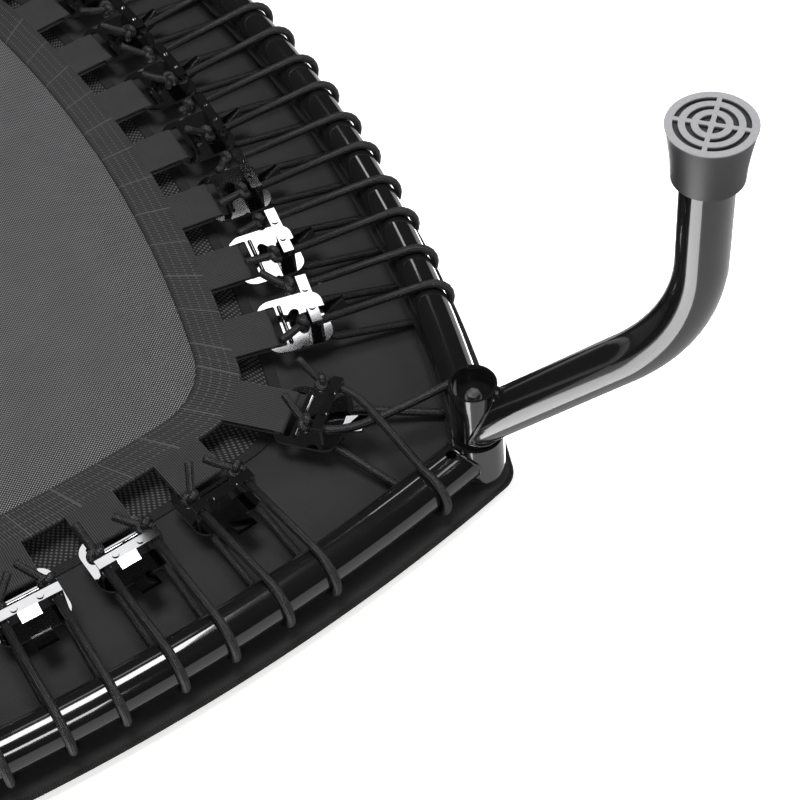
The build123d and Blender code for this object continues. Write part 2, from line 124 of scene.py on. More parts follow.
# ---- shader maths ----
class Value:
    """A shader socket that holds a number, with arithmetic that adds Math nodes."""

    def __init__(self, surface, socket):
        self.surface = surface
        self.socket = socket

    def math(self, operation, *others):
        numbers = [self] + list(others)
        node = self.surface.node("ShaderNodeMath", {"operation": operation}, dict(enumerate(numbers)))
        return Value(self.surface, node.outputs[0])

    def __add__(self, other):
        return self.math("ADD", other)

    __radd__ = __add__

    def __sub__(self, other):
        return self.math("SUBTRACT", other)

    def __rsub__(self, other):
        return (self * -1.0) + other

    def __mul__(self, other):
        return self.math("MULTIPLY", other)

    __rmul__ = __mul__

    def wave(self, pitch):
        """Swings between -1 and 1 once in each pitch."""
        return (self * (2 * math.pi / pitch)).math("SINE")

    def above(self, limit):
        return self.math("GREATER_THAN", limit)

    def clamped(self):
        return self.math("MAXIMUM", 0.0).math("MINIMUM", 1.0)

    def ramp(self, low, high):
        """0 below low, 1 above high, and a straight rise between them."""
        return ((self - low) * (1.0 / (high - low))).clamped()


class Surface:
    """A material under construction."""

    def __init__(self, name, colour, roughness, metallic=0.0):
        self.material = bpy.data.materials.new(name)
        self.material.use_nodes = True
        self.tree = self.material.node_tree
        self.shader = self.tree.nodes["Principled BSDF"]
        self.shader.inputs["Base Color"].default_value = (*colour, 1.0)
        self.shader.inputs["Roughness"].default_value = roughness
        self.shader.inputs["Metallic"].default_value = metallic
        self.material.diffuse_color = (*colour, 1.0)

    def node(self, kind, settings, inputs):
        made = self.tree.nodes.new(kind)
        for key, value in settings.items():
            setattr(made, key, value)
        for key, value in inputs.items():
            self.feed(made.inputs[key], value)
        return made

    def feed(self, socket, value):
        if isinstance(value, Value):
            self.tree.links.new(value.socket, socket)
        elif isinstance(value, bpy.types.NodeSocket):
            self.tree.links.new(value, socket)
        else:
            socket.default_value = value

    def place(self, source="Object"):
        """The three coordinates of a point: on the object, or UV in metres."""
        coords = self.node("ShaderNodeTexCoord", {}, {})
        split = self.node("ShaderNodeSeparateXYZ", {}, {0: coords.outputs[source]})
        return [Value(self, out) for out in split.outputs]

    def noise(self, scale, detail=3.0, source="Object"):
        coords = self.node("ShaderNodeTexCoord", {}, {})
        made = self.node("ShaderNodeTexNoise", {}, {"Vector": coords.outputs[source], "Scale": scale,
                                                    "Detail": detail})
        return Value(self, made.outputs["Fac"])

    def mix(self, factor, low, high):
        """Colour that goes from low to high."""
        made = self.node("ShaderNodeMix", {"data_type": "RGBA"}, {0: factor, 6: self.colour(low),
                                                                  7: self.colour(high)})
        return made.outputs[2]

    def colour(self, value):
        return value if isinstance(value, bpy.types.NodeSocket) else (*value, 1.0)

    def set(self, name, value):
        self.feed(self.shader.inputs[name], value)

    def bump(self, height, distance, strength=1.0):
        made = self.node("ShaderNodeBump", {}, {"Height": height, "Distance": distance, "Strength": strength})
        self.set("Normal", made.outputs[0])


def scaled(colour, factor):
    return tuple(min(1.0, c * factor) for c in colour)


# ---- finishes ----
def gloss_paint(name="tube_paint"):
    colour = bpy.context.scene.finishes.paint
    paint = Surface(name, colour, 0.10)
    paint.set("Coat Weight", 1.0)
    paint.set("Coat Roughness", 0.03)
    cloud = paint.noise(14.0)
    paint.set("Roughness", 0.09 + 0.10 * cloud)
    paint.set("Base Color", paint.mix(cloud, colour, scaled(colour, 1.8)))
    paint.bump(paint.noise(260.0, 2.0), 0.00002, 0.5)
    return paint.material


def bright_plate(name="bright_plate"):
    colour = bpy.context.scene.finishes.plating
    plate = Surface(name, colour, 0.16, 1.0)
    cloud = plate.noise(60.0, 2.0)
    plate.set("Roughness", 0.03 + 0.04 * cloud)
    plate.set("Base Color", plate.mix(cloud, scaled(colour, 0.8), colour))
    return plate.material


def zinc_steel(name="zinc_steel"):
    colour = bpy.context.scene.finishes.plating
    steel = Surface(name, scaled(colour, 0.7), 0.3, 1.0)
    cloud = steel.noise(220.0, 4.0)
    steel.set("Roughness", 0.22 + 0.25 * cloud)
    steel.set("Base Color", steel.mix(cloud, scaled(colour, 0.25), scaled(colour, 0.5)))
    steel.bump(cloud, 0.00004, 0.6)
    return steel.material


def foot_rubber():
    colour = bpy.context.scene.finishes.rubber
    rubber = Surface("foot_rubber", colour, 0.5)
    height = rubber.place()[2]
    # Painted highlight: the sole's face is painted 11 to 15 times lighter than the rest of the rubber where it faces
    # the lamps, while the sides and the grooves' insides keep the dark rubber.
    sole = 1.0 - height.ramp(0.0004, 0.0016)
    speck = rubber.noise(420.0, 5.0)
    painted_sole_highlight = rubber.mix(speck, scaled(colour, 11.0), scaled(colour, 15.0))
    dark = rubber.mix(speck, colour, scaled(colour, 1.7))
    rubber.set("Base Color", rubber.mix(sole, dark, painted_sole_highlight))
    rubber.set("Roughness", 0.34 + 0.2 * speck)
    rubber.bump(speck, 0.00008, 0.6)
    return rubber.material


def mat_mesh():
    sizes = bpy.context.scene.cloth_sizes
    colour = bpy.context.scene.finishes.weave
    mesh = Surface("mat_mesh", colour, 0.6)
    x, y, _ = mesh.place()
    pitch = sizes.mesh_pitch
    threads = x.wave(pitch) * y.wave(pitch)
    knots = threads.ramp(0.0, 0.5)
    patch = mesh.noise(34.0, 2.0)
    # Painted highlight: the threads are painted light grey for the glints of the black weave. The pattern of threads
    # and holes is the mat's own, and the holes stay near black.
    light = mesh.mix(patch, scaled(colour, 0.75), colour)
    mesh.set("Base Color", mesh.mix(knots, scaled(colour, 0.03), light))
    mesh.set("Roughness", 0.75 - 0.25 * knots)
    mesh.bump(knots, 0.0006, 0.8)
    return mesh.material


def webbing(name, pitch, tone, stitched=False):
    """Ribbed tape: ribs stand across the UV's first direction, with a fine weave along them."""
    colour = scaled(bpy.context.scene.finishes.webbing, tone)
    tape = Surface(name, colour, 0.7)
    u, v, _ = tape.place("UV")
    ribs = u.wave(pitch) * 0.5 + 0.5
    picks = v.wave(pitch * 0.55) * 0.5 + 0.5
    weave = (ribs * 0.8 + picks * 0.2).ramp(0.25, 0.85)
    worn = tape.noise(60.0)
    light = tape.mix(worn, scaled(colour, 0.8), scaled(colour, 1.25))
    woven = tape.mix(weave, scaled(colour, 0.22), light)
    if stitched:
        rows = v.wave(0.0072).above(0.90) * u.wave(0.0050).above(0.0)
        seams = u.wave(0.0482).above(0.996)
        thread = (rows + seams).clamped()
        woven = tape.mix(thread, woven, scaled(colour, 1.9))
    tape.set("Base Color", woven)
    tape.set("Roughness", 0.85 - 0.2 * weave)
    tape.bump(weave, 0.0005, 0.8)
    return tape.material


def spacer_mesh():
    pitch = bpy.context.scene.cloth_sizes.spacer_pitch
    colour = bpy.context.scene.finishes.webbing
    mesh = Surface("spacer_mesh", colour, 0.7)
    u, v, _ = mesh.place("UV")
    dots = (u.wave(pitch) * v.wave(pitch)).ramp(0.05, 0.6)
    mesh.set("Base Color", mesh.mix(dots, scaled(colour, 0.06), scaled(colour, 2.2)))
    mesh.set("Roughness", 0.8 - 0.2 * dots)
    mesh.bump(dots, 0.0007, 0.8)
    return mesh.material


def cover_twill():
    colour = bpy.context.scene.finishes.cloth
    cloth = Surface("cover_twill", colour, 0.75)
    x, y, _ = cloth.place()
    pitch = 0.0016
    twill = (x + y).wave(pitch) * 0.5 + 0.5
    threads = (x - y).wave(pitch * 1.3) * 0.5 + 0.5
    weave = twill * 0.6 + threads * 0.4
    fold = cloth.noise(9.0, 2.0)
    light = cloth.mix(fold, scaled(colour, 0.75), scaled(colour, 1.35))
    cloth.set("Base Color", cloth.mix(weave, scaled(colour, 0.45), light))
    cloth.set("Roughness", 0.85 - 0.2 * weave)
    cloth.bump(weave * 0.0003 + fold * 0.006, 1.0, 0.8)
    cloth.set("Sheen Weight", 0.04)
    return cloth.material


def cord_braid():
    colour = bpy.context.scene.finishes.webbing
    braid = Surface("cord_braid", colour, 0.55)
    u, v, _ = braid.place("UV")
    turn = 0.0236
    right = (u * 1.0 + v * 1.3).wave(turn / 6)
    left = (u * 1.0 - v * 1.3).wave(turn / 6)
    weave = (right * left).ramp(-0.4, 0.8)
    flecks = braid.noise(900.0, 2.0, "UV").ramp(0.52, 0.62)
    dark = braid.mix(weave, scaled(colour, 0.05), scaled(colour, 0.34))
    braid.set("Base Color", braid.mix(flecks * weave, dark, scaled(colour, 2.4)))
    braid.set("Roughness", 0.55 - 0.2 * weave)
    braid.bump(weave, 0.0004, 0.9)
    return braid.material


def binding_tape():
    return webbing("binding_tape", 0.0021, 0.25)


# ---- shape helpers ----
def turned(point, angle):
    """A point (x, y, z) turned about +Z."""
    x, y, z = point
    return Vector((x * math.cos(angle) - y * math.sin(angle), x * math.sin(angle) + y * math.cos(angle), z))


def corner_angle(k):
    return HALF_STEP * (2 * k + 1)


def side_angle(k):
    return HALF_STEP * (2 * k + 2)


def outline(offset, corner_r, side_steps, corner_steps):
    """Points (x, y) along the frame's line moved outwards by offset, with rounded corners."""
    arc_r = SIDE_ARC_R + offset
    sunk = ARC_BACK * math.sin(HALF_STEP)
    back = ARC_BACK * math.cos(HALF_STEP)
    centre = math.sqrt((arc_r - corner_r) ** 2 - sunk ** 2) - back
    swing = math.atan2(sunk, centre + back)
    points = []
    for k in range(SIDES):
        for i in range(corner_steps + 1):
            t = swing * (2 * i / corner_steps - 1)
            spot = (centre + corner_r * math.cos(t), corner_r * math.sin(t), 0)
            points.append(turned(spot, corner_angle(k)))
        reach = HALF_STEP - swing
        for i in range(1, side_steps):
            t = reach * (2 * i / side_steps - 1)
            spot = (arc_r * math.cos(t) - ARC_BACK, arc_r * math.sin(t), 0)
            points.append(turned(spot, side_angle(k)))
    return points


def new_piece(name, mesh, material, body, *nodes):
    """A finished piece at the origin that rides on a body and stands for CAD nodes."""
    piece = bpy.data.objects.new(name, mesh)
    bpy.context.scene.collection.objects.link(piece)
    mesh.materials.append(material)
    if body:
        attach(piece, body)
    if nodes:
        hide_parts(*nodes)
    return piece


def mesh_of(name, verts, faces, uvs=None, smooth=True):
    """Mesh with an optional UV, in metres, for each corner of each face."""
    mesh = bpy.data.meshes.new(name)
    mesh.from_pydata([tuple(v) for v in verts], [], faces)
    if uvs:
        layer = mesh.uv_layers.new(name="UVMap")
        for loop, uv in zip(layer.data, [uv for face in uvs for uv in face]):
            loop.uv = uv
    mesh.validate()
    bm = bmesh.new()
    bm.from_mesh(mesh)
    bmesh.ops.recalc_face_normals(bm, faces=bm.faces)
    bm.to_mesh(mesh)
    bm.free()
    mesh.polygons.foreach_set("use_smooth", [smooth] * len(mesh.polygons))
    return mesh


def band(name, section, side_steps=48, corner_steps=12):
    """Closed band round the frame. The section lists (offset, corner radius, height) round its outline."""
    loops = [[(p.x, p.y, z) for p in outline(offset, corner_r, side_steps, corner_steps)]
             for offset, corner_r, z in section]
    count = len(loops[0])
    along = [0.0]
    for i in range(count):
        a, b = Vector(loops[0][i]), Vector(loops[0][(i + 1) % count])
        along.append(along[-1] + (b - a).length)
    around = [0.0]
    for a, b in zip(section, section[1:] + section[:1]):
        around.append(around[-1] + math.hypot(b[0] - a[0], b[2] - a[2]))
    verts = [v for loop in loops for v in loop]
    faces, uvs = [], []
    for j in range(len(loops)):
        after = (j + 1) % len(loops)
        for i in range(count):
            n = (i + 1) % count
            faces.append((j * count + i, j * count + n, after * count + n, after * count + i))
            uvs.append(((along[i], around[j]), (along[i + 1], around[j]),
                        (along[i + 1], around[j + 1]), (along[i], around[j + 1])))
    return mesh_of(name, verts, faces, uvs)


def rounded_section(outer, outer_r, inner, inner_r, low, high, crown=0.0, steps=5, across=6):
    """Section of a flat band with round edges and a crowned top and underside."""
    half = (high - low) / 2
    middle = (high + low) / 2
    flat_out, flat_in = outer - half, inner + half

    def radius(offset):
        share = (outer - offset) / (outer - inner)
        return outer_r + (inner_r - outer_r) * share

    section = []
    for i in range(steps + 1):
        t = math.pi * (0.5 - i / steps)
        spot = flat_out + half * math.cos(t)
        section.append((spot, radius(spot), middle + half * math.sin(t)))
    for i in range(1, across):
        share = i / across
        spot = flat_out + (flat_in - flat_out) * share
        section.append((spot, radius(spot), low - crown * math.sin(math.pi * share)))
    for i in range(steps + 1):
        t = math.pi * (-0.5 - i / steps)
        spot = flat_in + half * math.cos(t)
        section.append((spot, radius(spot), middle + half * math.sin(t)))
    for i in range(1, across):
        share = i / across
        spot = flat_in + (flat_out - flat_in) * share
        section.append((spot, radius(spot), high + crown * math.sin(math.pi * share)))
    return section


def tube_mesh(name, path, radius, sides, closed=False, ends=True):
    """Round tube along points, with UVs in metres round it and along it."""
    points = [Vector(p) for p in path]
    count = len(points)
    verts, faces, uvs = [], [], []
    normal = None
    lengths = [0.0]
    for i, point in enumerate(points):
        before = points[i - 1] if i or closed else point
        after = points[(i + 1) % count] if i < count - 1 or closed else point
        ahead = (after - before).normalized()
        if normal is None:
            normal = ahead.orthogonal().normalized()
        normal = (normal - ahead * normal.dot(ahead)).normalized()
        other = ahead.cross(normal)
        for s in range(sides):
            t = 2 * math.pi * s / sides
            verts.append(point + (normal * math.cos(t) + other * math.sin(t)) * radius)
        if i:
            lengths.append(lengths[-1] + (point - points[i - 1]).length)
    step = 2 * math.pi * radius / sides
    rings = count if closed else count - 1
    if closed:
        lengths.append(lengths[-1] + (points[0] - points[-1]).length)
    for i in range(rings):
        n = (i + 1) % count
        for s in range(sides):
            e = (s + 1) % sides
            faces.append((i * sides + s, i * sides + e, n * sides + e, n * sides + s))
            uvs.append(((step * s, lengths[i]), (step * (s + 1), lengths[i]),
                        (step * (s + 1), lengths[i + 1]), (step * s, lengths[i + 1])))
    if ends and not closed:
        for ring in (0, count - 1):
            faces.append(tuple(ring * sides + s for s in range(sides)))
            uvs.append(tuple((step * s, lengths[ring]) for s in range(sides)))
    return mesh_of(name, verts, faces, uvs)


def joined(name, meshes):
    """One mesh that holds several, whose materials are the same."""
    bm = bmesh.new()
    for mesh in meshes:
        bm.from_mesh(mesh)
    whole = bpy.data.meshes.new(name)
    bm.to_mesh(whole)
    bm.free()
    whole.polygons.foreach_set("use_smooth", [True] * len(whole.polygons))
    return whole


def smoothed(points, steps):
    """Points along a curve that passes near its corner points (a B-spline of the second order)."""
    path = [Vector(p) for p in points]
    out = [path[0]]
    for a, b, c in zip(path, path[1:], path[2:]):
        start = a if a is path[0] else (a + b) / 2
        end = c if c is path[-1] else (b + c) / 2
        for i in range(1, steps + 1):
            t = i / steps
            out.append(start * (1 - t) ** 2 + b * 2 * t * (1 - t) + end * t * t)
    return out


# ---- clip places ----
def side_axis_place(k, i):
    """Matrix of the side tube's axis opposite clip i of side k: X outwards, Y along the tube."""
    angle = (i - (CLIPS_PER_SIDE - 1) / 2) * CLIP_PITCH / SIDE_ARC_R
    return (Matrix.Rotation(side_angle(k), 4, "Z") @ Matrix.Translation((-ARC_BACK, 0, FRAME_Z))
            @ Matrix.Rotation(angle, 4, "Z") @ Matrix.Translation((SIDE_ARC_R, 0, 0)))


def side_clip_place(k, i):
    return side_axis_place(k, i) @ Matrix.Translation((-REAR_WALL_IN, 0, MAT_PLANE - FRAME_Z))


def corner_clip_place(k):
    return Matrix.Rotation(corner_angle(k), 4, "Z") @ Matrix.Translation(
        (POST_CIRCLE_R - CORNER_CLIP_IN, 0, MAT_PLANE))


# ---- pieces ----
class FinishNodes(bpy.types.Operator):
    """Gives the tubes, plates, bolts, feet and clips their finish"""
    bl_idname = "rebounder.finish_nodes"
    bl_label = "Paint and plating"

    def execute(self, context):
        paint, plate, steel, rubber = gloss_paint(), bright_plate(), zinc_steel(), foot_rubber()
        kinds = {"side_tube": paint, "corner_post": paint, "post_caps": paint, "leg_sleeve": paint,
                 "leg_arm": paint, "leg_plate": paint, "leg_bolt": steel, "leg_washer": steel,
                 "weld_nuts": steel, "leg_foot": rubber, "clips_": plate, "clip_rivets": plate}
        for name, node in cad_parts.items():
            for start, material in kinds.items():
                if name.startswith(start):
                    node.data.materials.clear()
                    node.data.materials.append(material)
        return {"FINISHED"}


class MakeMat(bpy.types.Operator):
    """Makes the mesh mat, its webbing border and the straps"""
    bl_idname = "rebounder.mat"
    bl_label = "Jumping mat"

    def execute(self, context):
        self.panel()
        self.border()
        self.straps()
        return {"FINISHED"}

    def panel(self):
        edge = outline(-0.194, 0.070, 40, 10)
        count = len(edge)
        rings = 24
        verts, faces = [], []
        half = 0.0008
        for z in (MAT_PLANE - half, MAT_PLANE + half):
            verts.append(Vector((0, 0, z)))
            for r in range(1, rings + 1):
                verts += [Vector((p.x * r / rings, p.y * r / rings, z)) for p in edge]
        layer = 1 + rings * count
        for base in (0, layer):
            for i in range(count):
                n = (i + 1) % count
                faces.append((base, base + 1 + i, base + 1 + n))
                for r in range(rings - 1):
                    a, b = base + 1 + r * count, base + 1 + (r + 1) * count
                    faces.append((a + i, b + i, b + n, a + n))
        rim = 1 + (rings - 1) * count
        for i in range(count):
            n = (i + 1) % count
            faces.append((rim + i, rim + n, layer + rim + n, layer + rim + i))
        mesh = mesh_of("mat_sheet", verts, faces)
        mat = new_piece("mat_sheet", mesh, mat_mesh(), "mat", "mat_panel")

    def border(self):
        pitch = bpy.context.scene.cloth_sizes.rib_pitch
        section = rounded_section(-0.176, 0.070, -0.212, 0.070, MAT_PLANE - 0.0036, MAT_PLANE + 0.0036)
        mesh = band("mat_webbing_border", section)
        border = new_piece("mat_webbing_border", mesh, webbing("border_webbing", pitch, 1.0, stitched=True), "mat", "mat_border")

    def straps(self):
        fabric = webbing("strap_webbing", 0.0019, 1.1)
        places = [(side_clip_place(k, i), 0.080) for k in range(SIDES) for i in range(CLIPS_PER_SIDE)]
        places += [(corner_clip_place(k), 0.0907) for k in range(SIDES)]
        for number, (place, reach) in enumerate(places):
            mesh = strap_mesh(f"strap_{number + 1}", reach)
            mesh.transform(place)
            strap = new_piece(f"strap_{number + 1}", mesh, fabric, "mat", "mat_straps")


def strap_mesh(name, reach):
    """Folded strap round the clip's front bar, in the clip's frame."""
    half_w, thick = 0.0225, 0.0018
    inner, outer = CLIP_T / 2, CLIP_T / 2 + thick
    fold = -CLIP_FRONT + FRONT_BAR
    tail = -reach - 0.020
    line = [(tail, outer)]
    line += [(tail + (fold - tail) * i / 8, outer) for i in range(1, 9)]
    line += [(fold + outer * math.sin(math.pi * i / 6), outer * math.cos(math.pi * i / 6)) for i in range(1, 6)]
    line += [(fold + (tail - fold) * i / 8, -outer) for i in range(9)]
    back = [(tail, -inner)]
    back += [(tail + (fold - tail) * i / 8, -inner) for i in range(1, 9)]
    back += [(fold + inner * math.sin(math.pi * i / 6), -inner * math.cos(math.pi * i / 6)) for i in range(1, 6)]
    back += [(fold + (tail - fold) * i / 8, inner) for i in range(9)]
    loop = line + back
    along = [0.0]
    for a, b in zip(loop, loop[1:] + loop[:1]):
        along.append(along[-1] + math.hypot(b[0] - a[0], b[1] - a[1]))
    verts = [(x, side * half_w, z) for side in (-1, 1) for x, z in loop]
    count = len(loop)
    faces, uvs = [], []
    for i in range(count):
        n = (i + 1) % count
        faces.append((i, n, count + n, count + i))
        uvs.append(((0, along[i]), (0, along[i + 1]), (2 * half_w, along[i + 1]), (2 * half_w, along[i])))
    pairs = len(line)
    for i in range(pairs - 1):
        a, b = i, i + 1
        c, d = count - 2 - i, count - 1 - i
        for base in (0, count):
            faces.append((base + a, base + b, base + c, base + d))
            uvs.append(((0, 0), (0, 0.001), (0.001, 0.001), (0.001, 0)))
    return mesh_of(name, verts, faces, uvs, smooth=False)


class MakeCords(bpy.types.Operator):
    """Makes the braided shock cords with their knots"""
    bl_idname = "rebounder.cords"
    bl_label = "Shock cords"

    def execute(self, context):
        braid = cord_braid()
        for k in range(SIDES):
            for i in range(CLIPS_PER_SIDE):
                mesh = cord_mesh(f"cord_{k + 1}_{i + 1}", side_cord_route(), 10 * k + i)
                place = side_axis_place(k, i)
                self.hang(mesh, place, braid, f"cords_side_{k + 1}", -0.025, -0.090)
            mesh = cord_mesh(f"cord_corner_{k + 1}", corner_cord_route(), 50 + k)
            self.hang(mesh, corner_clip_place(k), braid, "cords_corner", 0.080, 0.004)
        return {"FINISHED"}

    def hang(self, mesh, place, material, node, start, end):
        mesh.transform(place)
        cord = new_piece(mesh.name, mesh, material, None, node)
        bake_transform(cord)


def round_bar(centre, radius, start, end, steps=10):
    """Points (x, z) of an arc from one angle to another."""
    turns = [start + (end - start) * i / steps for i in range(steps + 1)]
    return [(centre[0] + radius * math.cos(t), centre[1] + radius * math.sin(t)) for t in turns]


CORD_Y = 0.023
HOLE_Z = -0.01935
HOOK_X = 0.003
HOOK_Z = 0.0053
KNOT_BEHIND = 0.0145
KNOT_BELOW = 0.0225


def wrap_angles(low_from, high_from, radius):
    low = math.atan2(low_from[1], low_from[0]) % (2 * math.pi) + math.acos(radius / math.hypot(*low_from))
    high = math.atan2(high_from[1], high_from[0]) - math.acos(radius / math.hypot(*high_from))
    return low - 2 * math.pi, high


def side_cord_route():
    """Half of a side cord's centre line, from its knot to the middle of its hook, on the tube's axis frame."""
    drop = MAT_PLANE - FRAME_Z
    radius = TUBE_R + 0.0003 + bpy.context.scene.cord_sizes.radius
    start = (-REAR_WALL_IN - 0.0045, drop + HOLE_Z)
    hook = (-REAR_WALL_IN + HOOK_X, drop + HOOK_Z)
    low, high = wrap_angles(start, hook, radius)
    run = [start] + round_bar((0, 0), radius, low, high, 12) + [(hook[0] + 0.009, hook[1] + 0.0012)]
    path = [(x, CORD_Y, z) for x, z in run]
    for i in range(1, 5):
        t = math.pi / 2 * i / 4
        path.append((hook[0] + 0.009 - 0.009 * math.sin(t), CORD_Y - 0.009 + 0.009 * math.cos(t), hook[1]))
    path.append((hook[0], 0.0, hook[1]))
    mirror = [(x, -y, z) for x, y, z in reversed(path[:-1])]
    knot = (-REAR_WALL_IN - CLIP_T - KNOT_BEHIND, drop - KNOT_BELOW)
    return path + mirror, [(knot[0], CORD_Y, knot[1]), (knot[0], -CORD_Y, knot[1])]


def corner_strand(side, cross):
    """One strand of the corner cord, from its knot to the middle of the hook, on the clip's frame."""
    cord_r = bpy.context.scene.cord_sizes.radius
    radius = TUBE_R + 0.0003 + cord_r
    tilt = math.radians(62.14)
    drop = FRAME_Z - MAT_PLANE
    base = Vector((CORNER_CLIP_IN - 0.058 * math.cos(tilt), side * 0.058 * math.sin(tilt), drop))
    out = Vector((math.sin(tilt), side * math.cos(tilt), 0))
    start = Vector((-0.0045, -side * CORD_Y, HOLE_Z))
    clear = Vector((0.008, -side * CORD_Y, HOLE_Z))
    hook = Vector((HOOK_X, side * CORD_Y, HOOK_Z))
    far = base + out * radius
    share = clear.y / (clear.y - far.y)
    crossing = Vector((clear.x + share * (far.x - clear.x), 0, HOLE_Z + cross * (cord_r + 0.0005)))

    def across(point):
        return (point - base).dot(out), point.z - drop

    low, high = wrap_angles(across(crossing), across(hook), radius)
    arc = [base + out * x + Vector((0, 0, z)) for x, z in round_bar((0, 0), radius, low, high, 12)]
    eased = smoothed([start, clear, crossing, arc[0]], 6)
    bend = [(hook.x + 0.009 - 0.009 * math.sin(t), side * (CORD_Y - 0.009 + 0.009 * math.cos(t)), hook.z)
            for t in (0.0, 0.4, 0.8, 1.2, math.pi / 2)]
    return [tuple(p) for p in eased + arc[1:]] + bend + [(hook.x, 0.0, hook.z)]


def corner_cord_route():
    first, second = corner_strand(1, -1), corner_strand(-1, 1)
    knots = [(-CLIP_T - KNOT_BEHIND, side * CORD_Y, -KNOT_BELOW) for side in (-1, 1)]
    return first + second[:-1][::-1], knots


def cord_mesh(name, route, seed):
    """Cord with an overhand knot and a short tail at each end."""
    sizes = bpy.context.scene.cord_sizes
    path, knots = route
    chance = random.Random(seed)
    meshes = [tube_mesh(name + "_run", path, sizes.radius, sizes.sides)]
    for side, knot in zip((1, -1), knots):
        turn = Matrix.Translation(knot) @ Matrix.Rotation(chance.uniform(0, 6.28), 4, "X") \
            @ Matrix.Rotation(chance.uniform(0.9, 1.5), 4, "Y")
        loop = []
        for i in range(36):
            t = 2 * math.pi * i / 36
            loop.append(turn @ (Vector((math.sin(t) + 2 * math.sin(2 * t), math.cos(t) - 2 * math.cos(2 * t),
                                        -math.sin(3 * t))) * 0.0021))
        meshes.append(tube_mesh(name + "_knot", loop, sizes.radius * 0.92, sizes.sides, closed=True))
        lean = chance.uniform(-1.0, 1.0)
        rise = chance.uniform(-0.9, 0.1)
        start = Vector(knot)
        way = Vector((-0.8, lean - 0.4 * side, rise)).normalized()
        tip = start + way * sizes.tail + Vector((0, 0, -0.004))
        tail = smoothed([start, start + way * sizes.tail * 0.5, tip], 6)
        meshes.append(tube_mesh(name + "_tail", tail, sizes.radius * 0.95, sizes.sides))
    return joined(name, meshes)


class MakeCover(bpy.types.Operator):
    """Makes the padded cover, its spacer mesh rim and its binding"""
    bl_idname = "rebounder.cover"
    bl_label = "Padded cover"

    def execute(self, context):
        sizes = bpy.context.scene.cloth_sizes
        section = rounded_section(0.028, sizes.cover_corner, -0.150, 0.070, COVER_LOW, COVER_TOP,
                                  crown=0.0, across=14)
        lifted = [(o, r, z + (sizes.cover_puff * math.sin(math.pi * (0.028 - o) / 0.178) if z >= COVER_TOP else 0))
                  for o, r, z in section]
        mesh = band("cover", lifted, 96, 16)
        cover = new_piece("cover", mesh, cover_twill(), "frame", "cover_pad")
        rim_section = rounded_section(-0.148, 0.070, -0.194, 0.070, COVER_LOW, COVER_LOW + 0.003)
        rim = new_piece("cover_mesh_rim", band("cover_mesh_rim", rim_section), spacer_mesh(), "frame", "cover_rim")
        seam_section = rounded_section(-0.145, 0.070, -0.155, 0.070, COVER_LOW - 0.0015, COVER_LOW + 0.0004)
        seam = new_piece("cover_seam_tape", band("cover_seam_tape", seam_section), binding_tape(), "frame",
                         "cover_binding")
        edge_section = rounded_section(0.0300, sizes.cover_corner, 0.0225, 0.024, COVER_LOW + 0.002, COVER_LOW + 0.0062)
        edge = new_piece("cover_edge_piping", band("cover_edge_piping", edge_section), binding_tape(), "frame")
        return {"FINISHED"}


class MakeWelds(bpy.types.Operator):
    """Makes the weld beads at the posts and at the legs' sleeves"""
    bl_idname = "rebounder.welds"
    bl_label = "Weld beads"

    def execute(self, context):
        paint = gloss_paint("weld_paint")
        for k in range(SIDES):
            turn = Matrix.Rotation(corner_angle(k), 4, "Z")
            for side in (-1, 1):
                mesh = tube_mesh(f"post_weld_{k + 1}_{'a' if side > 0 else 'b'}", post_weld(side), 0.0017, 8,
                                 closed=True)
                mesh.transform(turn)
                bead = new_piece(mesh.name, mesh, paint, "frame")
            mesh = tube_mesh(f"arm_weld_{k + 1}", arm_weld(), 0.0019, 8, closed=True)
            mesh.transform(turn)
            bead = new_piece(mesh.name, mesh, paint, f"leg_{k + 1}")
        return {"FINISHED"}


def post_weld(side, steps=72):
    """Line where a side tube meets a post, on the corner's frame."""
    tilt = math.radians(62.14)
    along = Vector((-math.cos(tilt), side * math.sin(tilt), 0))
    across = Vector((math.sin(tilt), side * math.cos(tilt), 0))
    points = []
    for i in range(steps):
        t = 2 * math.pi * i / steps
        wide = TUBE_R * math.cos(t)
        reach = math.sqrt(POST_R ** 2 - wide ** 2) + 0.0003 * math.sin(18 * t)
        points.append(Vector((POST_CIRCLE_R, 0, FRAME_Z)) + along * reach + across * wide
                      + Vector((0, 0, TUBE_R * math.sin(t))))
    return points


def arm_weld(steps=84):
    """Line where a leg's arm meets its sleeve, on the corner's frame."""
    fall = math.radians(44.0)
    along = Vector((math.cos(fall), 0, -math.sin(fall)))
    up = Vector((math.sin(fall), 0, math.cos(fall)))
    start = Vector((POST_CIRCLE_R, 0, FRAME_Z - 0.03315))
    points = []
    for i in range(steps):
        t = 2 * math.pi * i / steps
        reach = LEG_R * (abs(math.cos(t)) - math.cos(t) * math.sin(fall)) / math.cos(fall)
        points.append(start + along * (reach + 0.0004 * math.sin(21 * t)) + up * LEG_R * math.cos(t)
                      + Vector((0, LEG_R * math.sin(t), 0)))
    return points


# ---- stage ----
class SetStage(bpy.types.Operator):
    """Sets the camera, the lights and the plain pale surfaces"""
    bl_idname = "rebounder.stage"
    bl_label = "Stage"

    def execute(self, context):
        add_camera()
        add_world()
        add_surface("floor", 0.0, up=True, mirrored=0.0, colour=(0.9, 0.9, 0.9))
        add_surface("table", COVER_TOP + 0.0045, up=False, mirrored=0.4, colour=(0.93, 0.925, 0.92))
        for number, (place, aim, size, power) in enumerate(softboxes()):
            add_softbox(f"softbox_{number + 1}", place, aim, size, power)
        context.scene.view_settings.view_transform = "Standard"
        context.scene.view_settings.exposure = 0.0
        return {"FINISHED"}


def corner_point(out, along, down):
    """Row point from the corner on +X and +Y: outwards, sideways and below the side tubes' middle, in metres."""
    e = Vector((math.cos(HALF_STEP), math.sin(HALF_STEP), 0))
    f = Vector((math.sin(HALF_STEP), -math.cos(HALF_STEP), 0))
    return e * (POST_CIRCLE_R + out) + f * along + Vector((0, 0, FRAME_Z - down))


